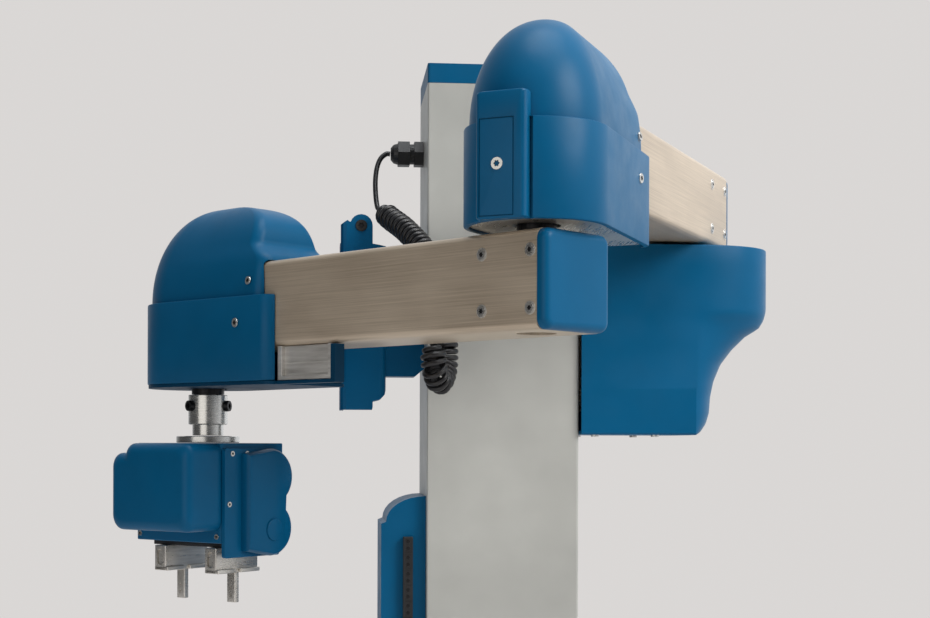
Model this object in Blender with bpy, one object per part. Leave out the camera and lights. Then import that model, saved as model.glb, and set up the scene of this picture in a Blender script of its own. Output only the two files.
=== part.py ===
"""SCARA robot arm: a column with a lifting carriage, two swinging arms and an electric gripper.

Metres, +Z up. The world origin is the middle of the base plate's underside. Each moving body has
an empty on its joint axis, and its pieces are modelled in that empty's frame: X runs along the
arm away from the joint that drives it, and Z stays the world height.
"""
import math

import bmesh
import bpy
from mathutils import Matrix, Vector

GAP = 0.0003

# Column
COLUMN_X, COLUMN_Y = 0.155, 0.120
COLUMN_WALL = 0.005
COLUMN_TOP = 0.980
CAP_HEIGHT = 0.020
BASE_SIZE, BASE_HEIGHT = 0.420, 0.020
SLOT_HALF = 0.022
SLOT_BOTTOM, SLOT_TOP = 0.150, 0.945

# Arms: joint centres, lengths and rest angles
SHOULDER = Vector((0.197, 0.0, 0.0))
UPPER_LENGTH, UPPER_ANGLE = 0.425, math.radians(-119.0)
FORE_LENGTH, FORE_ANGLE = 0.440, math.radians(131.0)
TOOL_ANGLE = math.radians(-42.0)
TUBE = 0.080
TUBE_WALL = 0.004
TUBE_CORNER = 0.0065
UPPER_Z = 0.823
FORE_Z = 0.705
TUBE_TAIL = 0.035
TUBE_NOSE = 0.020
SHAFT_RADIUS = 0.0163

# Joint housings, measured from the joint back along the arm
HOUSING_RADIUS, HOUSING_HALF, HOUSING_END, HOUSING_CORNER = 0.060, 0.050, 0.156, 0.014
SKIRT_WALL = 0.0045
SKIRT_LOW, SKIRT_HIGH = -0.032, 0.048
DOME_RADIUS, DOME_HALF, DOME_WALL = 0.0555, 0.0465, 0.003
DOME_TOP = 0.1425
DOME_CROWN = 0.030

# Carriage
CARRIAGE_Z0, CARRIAGE_Z1 = 0.625, 0.820
CARRIAGE_HALF = 0.066
CARRIAGE_BACK = 0.0795
CARRIAGE_FLAT = 0.198
COVER_WALL = 0.003

# Gripper, measured in the tool frame
FLANGE_TOP, FLANGE_BOTTOM = 0.6226, 0.6156
GRIP_TOP, GRIP_BOTTOM = 0.6153, 0.5180
GRIP_X0, GRIP_X1, GRIP_Y = -0.057, 0.0635, 0.043
JAW_X = 0.036


# ---------------------------------------------------------------- materials

def make_material(name, colour, metallic, roughness):
    material = bpy.data.materials.new(name)
    material.use_nodes = True
    shader = material.node_tree.nodes["Principled BSDF"]
    shader.inputs["Base Color"].default_value = (*colour, 1.0)
    shader.inputs["Metallic"].default_value = metallic
    shader.inputs["Roughness"].default_value = roughness
    material.diffuse_color = (*colour, 1.0)
    return material


FINISHES = {
    "blue": ((0.010, 0.110, 0.260), 0.0, 0.38),
    "brushed": ((0.480, 0.430, 0.370), 1.0, 0.34),
    "aluminium": ((0.720, 0.710, 0.690), 1.0, 0.30),
    "column": ((0.420, 0.430, 0.400), 0.1, 0.45),
    "steel": ((0.550, 0.550, 0.560), 1.0, 0.25),
    "black": ((0.020, 0.020, 0.022), 0.0, 0.40),
    "rubber": ((0.015, 0.015, 0.016), 0.0, 0.60),
}


# ---------------------------------------------------------------- mesh helpers

def add_frame(name, position, angle, parent=None):
    frame = bpy.data.objects.new(name, None)
    bpy.context.scene.collection.objects.link(frame)
    frame.location = position
    frame.rotation_euler = (0.0, 0.0, angle)
    frame.parent = parent
    return frame


def add_object(name, bm, frame, finish):
    bmesh.ops.recalc_face_normals(bm, faces=bm.faces)
    mesh = bpy.data.meshes.new(name)
    bm.to_mesh(mesh)
    bm.free()
    mesh.shade_smooth()
    mesh.set_sharp_from_angle(angle=math.radians(35.0))
    piece = bpy.data.objects.new(name, mesh)
    bpy.context.scene.collection.objects.link(piece)
    piece.parent = frame
    if finish:
        mesh.materials.append(make_material(name + "_finish", *FINISHES[finish]))
    return piece


def add_cutter(name, bm, frame):
    cutter = add_object(name, bm, frame, None)
    cutter.hide_render = True
    cutter.display_type = "WIRE"
    return cutter


def boolean(piece, other, operation="DIFFERENCE"):
    modifier = piece.modifiers.new(operation.lower() + "_" + other.name, "BOOLEAN")
    modifier.operation = operation
    modifier.solver = "EXACT"
    modifier.object = other


def prism(outline, z0, z1):
    """A closed prism over a list of (x, y) points."""
    bm = bmesh.new()
    low = [bm.verts.new((x, y, z0)) for x, y in outline]
    high = [bm.verts.new((x, y, z1)) for x, y in outline]
    bm.faces.new(low[::-1])
    bm.faces.new(high)
    count = len(outline)
    for i in range(count):
        j = (i + 1) % count
        bm.faces.new((low[i], low[j], high[j], high[i]))
    return bm


def loft(rings, closed_loop=False):
    """A solid through rings with equal point counts; a closed loop has no end caps."""
    bm = bmesh.new()
    loops = [[bm.verts.new(point) for point in ring] for ring in rings]
    count = len(loops[0])
    pairs = list(zip(loops, loops[1:]))
    if closed_loop:
        pairs.append((loops[-1], loops[0]))
    else:
        bm.faces.new(loops[0][::-1])
        bm.faces.new(loops[-1])
    for lower, upper in pairs:
        for i in range(count):
            j = (i + 1) % count
            bm.faces.new((lower[i], lower[j], upper[j], upper[i]))
    return bm


def ring_prism(outer, inner, z0, z1):
    """A hollow prism between two outlines with equal point counts."""
    rings = [[(x, y, z) for x, y in outline]
             for outline, z in ((outer, z0), (outer, z1), (inner, z1), (inner, z0))]
    return loft(rings, closed_loop=True)


def turned(profile, segments=32, centre=(0.0, 0.0)):
    """A solid of revolution about Z from (radius, z) points, bottom axis point to top axis point."""
    bm = bmesh.new()
    rings = []
    for radius, z in profile:
        if radius < 1e-6:
            rings.append([bm.verts.new((centre[0], centre[1], z))])
            continue
        ring = []
        for i in range(segments):
            angle = 2.0 * math.pi * i / segments
            x = centre[0] + radius * math.cos(angle)
            y = centre[1] + radius * math.sin(angle)
            ring.append(bm.verts.new((x, y, z)))
        rings.append(ring)
    for lower, upper in zip(rings, rings[1:]):
        for i in range(segments):
            j = (i + 1) % segments
            if len(lower) == 1:
                bm.faces.new((lower[0], upper[i], upper[j]))
            elif len(upper) == 1:
                bm.faces.new((lower[i], lower[j], upper[0]))
            else:
                bm.faces.new((lower[i], lower[j], upper[j], upper[i]))
    return bm


def cylinder(radius, z0, z1, centre=(0.0, 0.0), segments=32):
    return turned([(0.0, z0), (radius, z0), (radius, z1), (0.0, z1)], segments, centre)


def sleeve(outer, inner, z0, z1, centre=(0.0, 0.0), segments=32):
    def circle(radius):
        return [(centre[0] + radius * math.cos(2.0 * math.pi * i / segments),
                 centre[1] + radius * math.sin(2.0 * math.pi * i / segments)) for i in range(segments)]
    return ring_prism(circle(outer), circle(inner), z0, z1)


def turn_mesh(bm, origin, angle, axis):
    """Turn a mesh built along Z about one axis, then move it to its origin."""
    matrix = Matrix.Translation(origin) @ Matrix.Rotation(angle, 4, axis)
    bmesh.ops.transform(bm, matrix=matrix, verts=bm.verts)
    return bm


def along_x(bm, origin):
    """Turn a mesh built along Z so that it runs along +X from the origin given."""
    return turn_mesh(bm, origin, math.pi / 2.0, "Y")


def profile_y(outline, y0, y1):
    """A closed prism over a list of (x, z) points, running along Y."""
    return loft([[(x, y, z) for x, z in outline] for y in (y0, y1)])


def rounded_box(low, high, radius, steps=3):
    """A box whose vertical edges are rounded."""
    outline = rounded_rectangle(low[0], low[1], high[0], high[1], radius, steps)
    return prism(outline, low[2], high[2])


def box(low, high):
    return prism([(low[0], low[1]), (high[0], low[1]), (high[0], high[1]), (low[0], high[1])],
                 low[2], high[2])


def rounded_rectangle(x0, y0, x1, y1, radius, steps=3):
    corners = ((x1 - radius, y0 + radius, -90.0), (x1 - radius, y1 - radius, 0.0),
               (x0 + radius, y1 - radius, 90.0), (x0 + radius, y0 + radius, 180.0))
    points = []
    for cx, cy, start in corners:
        for i in range(steps + 1):
            angle = math.radians(start + 90.0 * i / steps)
            points.append((cx + radius * math.cos(angle), cy + radius * math.sin(angle)))
    return points


# ---------------------------------------------------------------- joint housings

def housing_outline(radius, half, end, corner):
    """Plan of a housing: round about the joint, narrowing to a rounded square end."""
    lean = math.asin(radius / math.hypot(end, half)) - math.atan2(half, end)
    tangent = math.pi / 2.0 - lean
    cx = end - corner
    cy = (radius - corner - cx * math.cos(tangent)) / math.sin(tangent)
    points = []
    for i in range(5):
        angle = -tangent + tangent * i / 4.0
        points.append((cx + corner * math.cos(angle), -cy + corner * math.sin(angle)))
    for i in range(5):
        angle = tangent * i / 4.0
        points.append((cx + corner * math.cos(angle), cy + corner * math.sin(angle)))
    sweep = 2.0 * (math.pi - tangent)
    for i in range(25):
        angle = tangent + sweep * i / 24.0
        points.append((radius * math.cos(angle), radius * math.sin(angle)))
    return points


def from_joint(points, length):
    """Turn (distance back from the joint, offset) into the arm's own coordinates."""
    return [(length - s, offset) for s, offset in points]


def add_skirt(name, frame, length, tube_z):
    outer = housing_outline(HOUSING_RADIUS, HOUSING_HALF, HOUSING_END, HOUSING_CORNER)
    wall = SKIRT_WALL
    inner = housing_outline(HOUSING_RADIUS - wall, HOUSING_HALF - wall, HOUSING_END - wall,
                            HOUSING_CORNER - wall)
    bm = ring_prism(from_joint(outer, length), from_joint(inner, length),
                    tube_z + SKIRT_LOW, tube_z + SKIRT_HIGH)
    skirt = add_object(name, bm, frame, "blue")
    x0 = length - HOUSING_END - 0.01
    opening = box((x0, -TUBE / 2 - 0.001, tube_z - 0.06), (x0 + 0.03, TUBE / 2 + 0.001, tube_z + 0.06))
    boolean(skirt, add_cutter(name + "_opening", opening, frame))
    return skirt


def dome_ring(outline, share, length, base_z, height):
    """One level of a dome: the plan drawn in about the crown, share 0 at the rim to 1 at the top."""
    side = math.sqrt(max(0.0, 1.0 - share ** 2))
    front = max(0.0, 1.0 - share ** 2.2) ** (1.0 / 2.2)
    collar = min(1.0, max(0.0, (0.55 - share) / 0.20))
    back = 0.76 * max(0.0, 1.0 - share ** 7) ** (1.0 / 2.2) + 0.13 * collar * collar * (3.0 - 2.0 * collar)
    ring = []
    for s, offset in outline:
        reach = s - DOME_CROWN
        reach *= front if reach < 0.0 else back
        ring.append((length - DOME_CROWN - reach, offset * side, base_z + height * share))
    return ring


def dome_rings(radius, half, end, corner, length, base_z, height):
    outline = housing_outline(radius, half, end, corner)
    shares = [math.sin(math.pi / 2.0 * i / 11.0) for i in range(11)] + [0.998]
    return [dome_ring(outline, share, length, base_z, height) for share in shares]


def add_dome(name, frame, length, tube_z):
    base_z = tube_z + SKIRT_HIGH + GAP
    height = DOME_TOP - SKIRT_HIGH - GAP
    wall = DOME_WALL
    outer = dome_rings(DOME_RADIUS, DOME_HALF, HOUSING_END, HOUSING_CORNER, length, base_z, height)
    inner = dome_rings(DOME_RADIUS - wall, DOME_HALF - wall, HOUSING_END - wall,
                       HOUSING_CORNER - wall, length, base_z, height - wall)
    dome = add_object(name, dome_shell(outer, inner), frame, "blue")
    x0 = length - HOUSING_END - 0.02
    half = TUBE / 2 + 0.001
    opening = box((x0, -half, base_z - 0.02), (x0 + 0.085, half, tube_z + TUBE + 0.001))
    boolean(dome, add_cutter(name + "_opening", opening, frame))
    return dome


def dome_shell(outer, inner):
    """An open-bottomed shell between an outer and an inner stack of rings."""
    bm = bmesh.new()
    shells = [[[bm.verts.new(point) for point in ring] for ring in rings] for rings in (outer, inner)]
    count = len(outer[0])
    for loops in shells:
        bm.faces.new(loops[-1])
        for lower, upper in zip(loops, loops[1:]):
            for i in range(count):
                j = (i + 1) % count
                bm.faces.new((lower[i], lower[j], upper[j], upper[i]))
    for i in range(count):
        j = (i + 1) % count
        bm.faces.new((shells[0][0][i], shells[0][0][j], shells[1][0][j], shells[1][0][i]))
    return bm


# ---------------------------------------------------------------- arms

def add_tube(name, frame, length, tube_z, holes):
    half = TUBE / 2
    wall = TUBE_WALL
    x0, x1 = -TUBE_TAIL, length + TUBE_NOSE
    outer = rounded_rectangle(-half, -half, half, half, TUBE_CORNER, 4)
    inner = rounded_rectangle(-half + wall, -half + wall, half - wall, half - wall, TUBE_CORNER - wall, 4)
    bm = along_x(ring_prism(outer, inner, 0.0, x1 - x0), (x0, 0.0, tube_z + half))
    tube = add_object(name, bm, frame, "brushed")
    for index, (x, radius, low, high) in enumerate(holes):
        cutter = cylinder(radius, tube_z + low, tube_z + high, (x, 0.0))
        boolean(tube, add_cutter("%s_hole_%d" % (name, index), cutter, frame))
    return tube


def add_end_cap(name, frame, tube_z):
    half = TUBE / 2
    x1 = -TUBE_TAIL - GAP
    rings = []
    for depth, inset in ((0.0, 0.0), (0.006, 0.0), (0.0085, 0.0012), (0.010, 0.004)):
        outline = rounded_rectangle(-half + inset, -half + inset, half - inset, half - inset,
                                    0.009 - inset, 4)
        rings.append([(x1 - depth, y, tube_z + half + z) for y, z in outline])
    return add_object(name, loft(rings), frame, "blue")


def add_upper_arm(frame):
    length, z = UPPER_LENGTH, UPPER_Z
    hub = turned([(0.0, CARRIAGE_Z1 - 0.020), (0.0300, CARRIAGE_Z1 - 0.020), (0.0300, z - GAP),
                  (0.0, z - GAP)])
    add_object("shoulder_hub", hub, frame, "black")
    clamp = cylinder(0.030, z + TUBE_WALL + GAP, z + 0.020)
    add_object("shoulder_clamp", clamp, frame, "aluminium")
    holes = [(length, 0.0170, -0.005, TUBE_WALL + 0.002)]
    add_tube("upper_arm_tube", frame, length, z, holes)
    add_end_cap("upper_arm_end_cap", frame, z)
    add_skirt("elbow_skirt", frame, length, z)
    add_dome("elbow_dome", frame, length, z)
    add_duct_cover(frame, length, z)
    gearbox = cylinder(0.030, z + TUBE_WALL + GAP, z + TUBE - TUBE_WALL - GAP, (length, 0.0))
    add_object("elbow_gearbox", gearbox, frame, "aluminium")
    motor = cylinder(0.026, z + TUBE + GAP, z + 0.114, (length - 0.012, 0.0))
    add_object("elbow_motor", motor, frame, "black")
    add_elbow_plate(frame, length, z)


def add_duct_cover(frame, length, z):
    """The flat-fronted cable duct on the outer end of the elbow housing."""
    def outline(back):
        left, right, front, corner = -0.0275, 0.0155, 0.0650, 0.004
        points = []
        for start, centre in ((-90.0, left + corner), (0.0, right - corner)):
            for i in range(4):
                angle = math.radians(start + 90.0 * i / 3.0)
                points.append((front - corner + corner * math.cos(angle), centre + corner * math.sin(angle)))
        first, last = math.asin(right / back), math.asin(left / back)
        for i in range(7):
            angle = first + (last - first) * i / 6.0
            points.append((back * math.cos(angle), back * math.sin(angle)))
        return [(length + x, y) for x, y in points]
    lower = prism(outline(HOUSING_RADIUS + GAP), z + SKIRT_LOW, z + SKIRT_HIGH + 0.001)
    cover = add_object("elbow_duct_cover", lower, frame, "blue")
    upper = prism(outline(DOME_RADIUS + GAP), z + SKIRT_HIGH + GAP, z + SKIRT_HIGH + 0.021)
    boolean(cover, add_cutter("elbow_duct_top", upper, frame), "UNION")


def add_elbow_plate(frame, length, z):
    """The metal floor plate of the elbow housing, with its shaft hole and cable slot."""
    inset = SKIRT_WALL + GAP
    outline = housing_outline(HOUSING_RADIUS - inset, HOUSING_HALF - inset, HOUSING_END - 0.010, 0.009)
    bm = prism(from_joint(outline, length), z - 0.030, z - 0.027)
    plate = add_object("elbow_plate", bm, frame, "aluminium")
    hole = cylinder(0.0200, z - 0.040, z - 0.020, (length, 0.0))
    boolean(plate, add_cutter("elbow_plate_hole", hole, frame))
    slot = rounded_box((length - 0.070, -0.030, z - 0.040), (length - 0.040, -0.020, z - 0.020), 0.0045)
    boolean(plate, add_cutter("elbow_plate_slot", slot, frame))


def add_forearm(frame):
    length, z = FORE_LENGTH, FORE_Z
    shaft = cylinder(SHAFT_RADIUS, z + 0.004, UPPER_Z + TUBE_WALL - 0.0005)
    add_object("elbow_shaft", shaft, frame, "black")
    hub_hole = SHAFT_RADIUS + GAP
    holes = [(0.0, hub_hole, -0.005, TUBE + 0.005),
             (length, SHAFT_RADIUS + 0.0005, -0.005, TUBE_WALL + 0.002)]
    add_tube("forearm_tube", frame, length, z, holes)
    add_end_cap("forearm_end_cap", frame, z)
    add_skirt("wrist_skirt", frame, length, z)
    add_dome("wrist_dome", frame, length, z)
    gearbox = cylinder(0.030, z + TUBE_WALL + GAP, z + TUBE - TUBE_WALL - GAP, (length, 0.0))
    add_object("wrist_gearbox", gearbox, frame, "aluminium")
    motor = cylinder(0.026, z + TUBE + GAP, z + 0.114, (length - 0.012, 0.0))
    add_object("wrist_motor", motor, frame, "black")
    add_wrist_plate(frame, length, z)
    add_saddle(frame, length, z)
    origin = (length - 0.2550, -TUBE / 2 - GAP, z + TUBE / 2)
    add_gland("forearm_gland", frame, 0.65, origin, math.pi / 2.0, "X")


def add_wrist_plate(frame, length, z):
    """The floor plate of the wrist housing, with a tongue under one side of the tube that turns up."""
    top = z + SKIRT_LOW - GAP
    outline = housing_outline(HOUSING_RADIUS - 0.001, HOUSING_HALF - 0.001, HOUSING_END, 0.010)
    plate = add_object("wrist_plate", prism(from_joint(outline, length), top - 0.003, top), frame, "blue")
    tongue = profile_y([(length - 0.150, top - 0.003), (length - 0.150, top), (length - 0.2320, top),
                        (length - 0.2320, z - 0.001), (length - 0.2380, z - 0.001),
                        (length - 0.2380, top - 0.003)], 0.0290, 0.0400)
    boolean(plate, add_cutter("wrist_plate_tongue", tongue, frame), "UNION")
    hole = cylinder(0.0200, top - 0.010, top + 0.010, (length, 0.0))
    boolean(plate, add_cutter("wrist_plate_hole", hole, frame))


def add_saddle(frame, length, z):
    """The aluminium spacer between the wrist plate's tongue and the tube, recessed on its outer side."""
    x0, x1 = length - 0.2315, length - 0.1570
    low, high = z + SKIRT_LOW + GAP, z - GAP
    saddle = add_object("saddle_bracket", box((x0, 0.0290, low), (x1, 0.0390, high)), frame, "aluminium")
    pocket = box((x0 + 0.006, 0.0350, low + 0.004), (x1 - 0.005, 0.0500, high + 0.010))
    boolean(saddle, add_cutter("saddle_pocket", pocket, frame))


def hex_reach(angle, across_flats):
    """Distance from the centre of a hexagon to its edge in one direction."""
    turn = (angle + math.pi / 6.0) % (math.pi / 3.0) - math.pi / 6.0
    return across_flats / 2.0 / math.cos(turn)


def gland_body(sections, origin, angle, axis):
    """A gland turned from (shape, size, height) sections; a hexagon's size is its across flats."""
    rings = []
    for shape, size, z in sections:
        ring = []
        for i in range(24):
            turn = 2.0 * math.pi * i / 24.0
            radius = hex_reach(turn, size) if shape == "hex" else size / 2.0
            ring.append((radius * math.cos(turn), radius * math.sin(turn), z))
        rings.append(ring)
    return turn_mesh(loft(rings), origin, angle, axis)


def add_gland(name, frame, scale, origin, angle, axis):
    size = 0.0245
    body = [("hex", size, 0.0), ("hex", size, 0.0095), ("round", 0.86 * size, 0.0095),
            ("round", 0.86 * size, 0.0140)]
    nut = [("hex", size, 0.0143), ("hex", size, 0.0265), ("round", 0.90 * size, 0.0267),
           ("round", 0.80 * size, 0.0310), ("round", 0.52 * size, 0.0340)]
    for suffix, sections in (("_body", body), ("_nut", nut)):
        scaled = [(shape, width * scale, z * scale) for shape, width, z in sections]
        add_object(name + suffix, gland_body(scaled, origin, angle, axis), frame, "black")


# ---------------------------------------------------------------- column

def add_column(frame):
    hx, hy, wall = COLUMN_X / 2, COLUMN_Y / 2, COLUMN_WALL
    half = BASE_SIZE / 2
    plate = rounded_box((-half, -half, 0.0), (half, half, BASE_HEIGHT), 0.020)
    base = add_object("base_plate", plate, frame, "column")
    for index, (sx, sy) in enumerate(((-1, -1), (-1, 1), (1, -1), (1, 1))):
        hole = cylinder(0.0065, -0.01, BASE_HEIGHT + 0.01, (sx * (half - 0.035), sy * (half - 0.035)), 20)
        boolean(base, add_cutter("base_hole_%d" % index, hole, frame))
    outer = rounded_rectangle(-hx, -hy, hx, hy, 0.0022)
    inner = rounded_rectangle(-hx + wall, -hy + wall, hx - wall, hy - wall, 0.0015)
    bm = ring_prism(outer, inner, BASE_HEIGHT + GAP, COLUMN_TOP)
    profile = add_object("column_profile", bm, frame, "column")
    slot = box((hx - 0.02, -SLOT_HALF, SLOT_BOTTOM), (hx + 0.02, SLOT_HALF, SLOT_TOP))
    boolean(profile, add_cutter("column_slot", slot, frame))
    cap = rounded_box((-hx, -hy, COLUMN_TOP + GAP), (hx, hy, COLUMN_TOP + CAP_HEIGHT), 0.0025)
    add_object("top_cap", cap, frame, "blue")
    for name, z0, z1 in (("screw_bearing_bottom", 0.122, 0.140), ("screw_bearing_top", 0.952, 0.970)):
        edge = wall + 2.0 * GAP
        plate = rounded_box((-hx + edge, -hy + edge, z0), (hx - edge, hy - edge, z1), 0.003)
        bearing = add_object(name, plate, frame, "aluminium")
        boolean(bearing, add_cutter(name + "_bore", cylinder(0.0085, z0 - 0.01, z1 + 0.01), frame))
    motor = rounded_box((-0.028, -0.028, BASE_HEIGHT + GAP), (0.028, 0.028, 0.108), 0.005)
    add_object("lift_motor", motor, frame, "black")
    for name, side in (("guide_rail_front", -1), ("guide_rail_rear", 1)):
        y0, y1 = sorted((side * 0.029, side * 0.043))
        rail = box((hx - wall - 0.0105, y0, SLOT_BOTTOM), (hx - wall - GAP, y1, SLOT_TOP))
        add_object(name, rail, frame, "steel")
    add_side_bracket(frame)
    add_controller_box(frame)
    add_gland("cable_gland", frame, 1.0, (-hx - GAP, 0.010, 0.920), -math.pi / 2.0, "Y")


def add_side_bracket(frame):
    """The folded blue bracket on the column's left face, with a round screw tab at its top."""
    depth = 0.022
    body = rounded_box((-0.1650, -depth, 0.6500), (-0.1175, depth, 0.8520), 0.0065)
    bracket = add_object("side_bracket", body, frame, "blue")
    arm = profile_y([(-0.1300, 0.6850), (-0.0870, 0.6850), (-COLUMN_X / 2 - GAP, 0.6930),
                     (-COLUMN_X / 2 - GAP, 0.7900), (-0.1300, 0.7900)], -0.016, 0.016)
    boolean(bracket, add_cutter("side_bracket_arm", arm, frame), "UNION")
    back = box((-0.1800, -0.0180, 0.8220), (-0.1000, 0.0300, 0.8600))
    boolean(bracket, add_cutter("side_bracket_back", back, frame))
    pocket = box((-0.1610, -0.0180, 0.6400), (-0.1315, 0.0300, 0.8600))
    boolean(bracket, add_cutter("side_bracket_pocket", pocket, frame))
    tab = [(-0.1432 + 0.0117 * math.cos(math.pi * i / 10.0), 0.8400 + 0.0117 * math.sin(math.pi * i / 10.0))
           for i in range(10)]
    above = [(-0.1000, 0.8700), (-0.1000, 0.8195), (-0.1200, 0.8195), (-0.1315, 0.8215)] + tab
    above += [(-0.1555, 0.8440), (-0.1575, 0.8455), (-0.1700, 0.8370), (-0.1700, 0.8700)]
    boolean(bracket, add_cutter("side_bracket_above", profile_y(above, -0.03, 0.03), frame))
    below = [(-0.1000, 0.6400), (-0.1340, 0.6400), (-0.1310, 0.6530), (-0.1310, 0.6590), (-0.1230, 0.6610),
             (-0.1185, 0.6660), (-0.1172, 0.6720), (-0.1000, 0.6720)]
    boolean(bracket, add_cutter("side_bracket_below", profile_y(below, -0.03, 0.03), frame))


def add_controller_box(frame):
    back = -COLUMN_X / 2 - GAP
    outline = [(back, 0.230)]
    for i in range(9):
        angle = math.pi / 2.0 * i / 8.0
        outline.append((back - 0.0402 * math.sin(angle), 0.536 + 0.026 * math.cos(angle)))
    outline += [(-0.1230, 0.5340), (-0.1230, 0.2300)]
    add_object("controller_box", profile_y(outline, -0.050, 0.050), frame, "blue")
    strip = box((-0.1010, -0.0580, 0.2600), (-0.0910, -0.0500 - GAP, 0.5210))
    add_object("terminal_strip", strip, frame, "black")


def add_drive_screw(frame):
    add_object("ball_screw", cylinder(0.0080, 0.1085, 0.9680), frame, "steel")


# ---------------------------------------------------------------- carriage

def nose_reach(z):
    """How far the cover's rounded front stands out at one height."""
    profile = ((0.6245, 0.2030), (0.6290, 0.2110), (0.6366, 0.2185), (0.6480, 0.2228), (0.6650, 0.2236),
               (0.6810, 0.2278), (0.6990, 0.2360), (0.7150, 0.2488), (0.7290, 0.2637), (0.7380, 0.2787),
               (0.7560, 0.2860), (0.8210, 0.2860))
    for (z0, x0), (z1, x1) in zip(profile, profile[1:]):
        if z <= z1:
            return x0 + (x1 - x0) * (z - z0) / (z1 - z0)
    return profile[-1][1]


def cover_ring(z, inset, back, half):
    """Plan of the carriage cover: flat sides, then a blunt round nose."""
    reach = nose_reach(z) - inset - CARRIAGE_FLAT
    ring = [(back, -half, z)]
    for i in range(17):
        angle = math.pi * (i / 16.0 - 0.5)
        blunt = 2.0 / 2.3
        x = CARRIAGE_FLAT + reach * abs(math.cos(angle)) ** blunt
        y = math.copysign(half * abs(math.sin(angle)) ** blunt, math.sin(angle))
        ring.append((x, y, z))
    ring.append((back, half, z))
    return ring


def add_carriage_cover(frame):
    heights = (0.6250, 0.6290, 0.6366, 0.6480, 0.6650, 0.6810, 0.6990, 0.7150, 0.7290, 0.7380, 0.7560,
               CARRIAGE_Z1)
    rings = [cover_ring(z, 0.0, CARRIAGE_BACK, CARRIAGE_HALF) for z in heights]
    cover = add_object("carriage_cover", loft(rings), frame, "blue")
    wall = COVER_WALL
    inner = (0.6290,) + heights[2:-1] + (CARRIAGE_Z1 - wall,)
    rings = [cover_ring(z, 0.0045, CARRIAGE_BACK - 0.010, CARRIAGE_HALF - wall) for z in inner]
    boolean(cover, add_cutter("carriage_cover_inside", loft(rings), frame))
    hole = cylinder(0.0310, CARRIAGE_Z1 - 0.02, CARRIAGE_Z1 + 0.02, (SHOULDER.x, 0.0))
    boolean(cover, add_cutter("carriage_cover_hole", hole, frame))


def add_carriage(frame):
    slider = [(0.034, -0.046), (0.0457, -0.046), (0.0457, -0.020), (0.082, -0.020), (0.082, -0.055),
              (0.092, -0.055), (0.092, 0.055), (0.082, 0.055), (0.082, 0.020), (0.0457, 0.020),
              (0.0457, 0.046), (0.034, 0.046)]
    add_object("carriage_slider", prism(slider, 0.650, 0.790), frame, "aluminium")
    for name, side in (("guide_block_front", -1), ("guide_block_rear", 1)):
        y0, y1 = sorted((side * 0.026, side * 0.046))
        add_object(name, box((0.046, y0, 0.660), (0.0617, y1, 0.780)), frame, "steel")
    nut = add_object("ball_nut", box((-0.020, -0.020, 0.700), (0.034 - GAP, 0.020, 0.740)), frame, "steel")
    boolean(nut, add_cutter("ball_nut_bore", cylinder(0.0085, 0.690, 0.750), frame))
    bracket = rounded_box((0.092 + GAP, -0.048, 0.770), (0.240, 0.048, 0.800), 0.020)
    housing = add_object("shoulder_bracket", bracket, frame, "aluminium")
    bore = cylinder(0.0380, 0.760, 0.810, (SHOULDER.x, 0.0))
    boolean(housing, add_cutter("shoulder_bracket_bore", bore, frame))
    bearing = sleeve(0.0376, 0.0254, 0.771, 0.799, (SHOULDER.x, 0.0))
    add_object("shoulder_bearing", bearing, frame, "steel")
    motor = turned([(0.0, 0.692), (0.0240, 0.692), (0.0240, 0.764), (0.0400, 0.764), (0.0400, 0.7697),
                    (0.0, 0.7697)], 32, (SHOULDER.x, 0.0))
    add_object("shoulder_motor", motor, frame, "black")
    add_carriage_cover(frame)


# ---------------------------------------------------------------- tool

def add_tool(frame):
    add_object("spindle_shaft", cylinder(SHAFT_RADIUS, 0.6643, 0.7085), frame, "black")
    coupling = turned([(0.0, 0.6229), (0.0155, 0.6229), (0.0155, 0.6340), (0.0195, 0.6345),
                       (0.0195, 0.6635), (0.0190, 0.6640), (0.0, 0.6640)])
    add_object("shaft_coupling", coupling, frame, "steel")
    add_object("tool_flange", cylinder(0.0315, FLANGE_BOTTOM, FLANGE_TOP, segments=40), frame, "aluminium")
    for name, angle in (("coupling_screw_front", -100.0), ("coupling_screw_side", 20.0)):
        screw = turned([(0.0, 0.0), (0.0055, 0.0), (0.0055, 0.0045), (0.0, 0.0045)], 16)
        turn = math.radians(angle)
        reach = 0.0195 + GAP
        bmesh.ops.transform(screw, matrix=Matrix.Rotation(math.pi / 2.0, 4, "Y"), verts=screw.verts)
        place = (reach * math.cos(turn), reach * math.sin(turn), 0.6525)
        add_object(name, turn_mesh(screw, place, turn, "Z"), frame, "black")
    add_gripper(frame)


def add_gripper(frame):
    body_low, body_high = (GRIP_X0, -GRIP_Y, GRIP_BOTTOM), (GRIP_X1 - GAP, GRIP_Y, GRIP_TOP)
    body = add_object("gripper_body", rounded_box(body_low, body_high, 0.002), frame, "blue")
    pocket = box((GRIP_X0 + 0.004, -GRIP_Y + 0.004, GRIP_BOTTOM + 0.010),
                 (GRIP_X1 + 0.020, GRIP_Y - 0.004, GRIP_TOP - 0.010))
    boolean(body, add_cutter("gripper_body_inside", pocket, frame))
    wall = GRIP_Y + GAP
    cover = motor_cover(-GRIP_Y - GAP, -0.0876, 0.005)
    add_object("gripper_motor_cover", cover, frame, "blue")
    motor = along_x(cylinder(0.0300, 0.0, 0.095), (-0.045, 0.0, 0.567))
    add_object("gripper_motor", motor, frame, "black")
    add_gear_cover(frame)
    rail = box((-0.0520, -0.0250, 0.5125), (0.0620, 0.0250, GRIP_BOTTOM - GAP))
    add_object("gripper_rail", rail, frame, "black")


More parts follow.
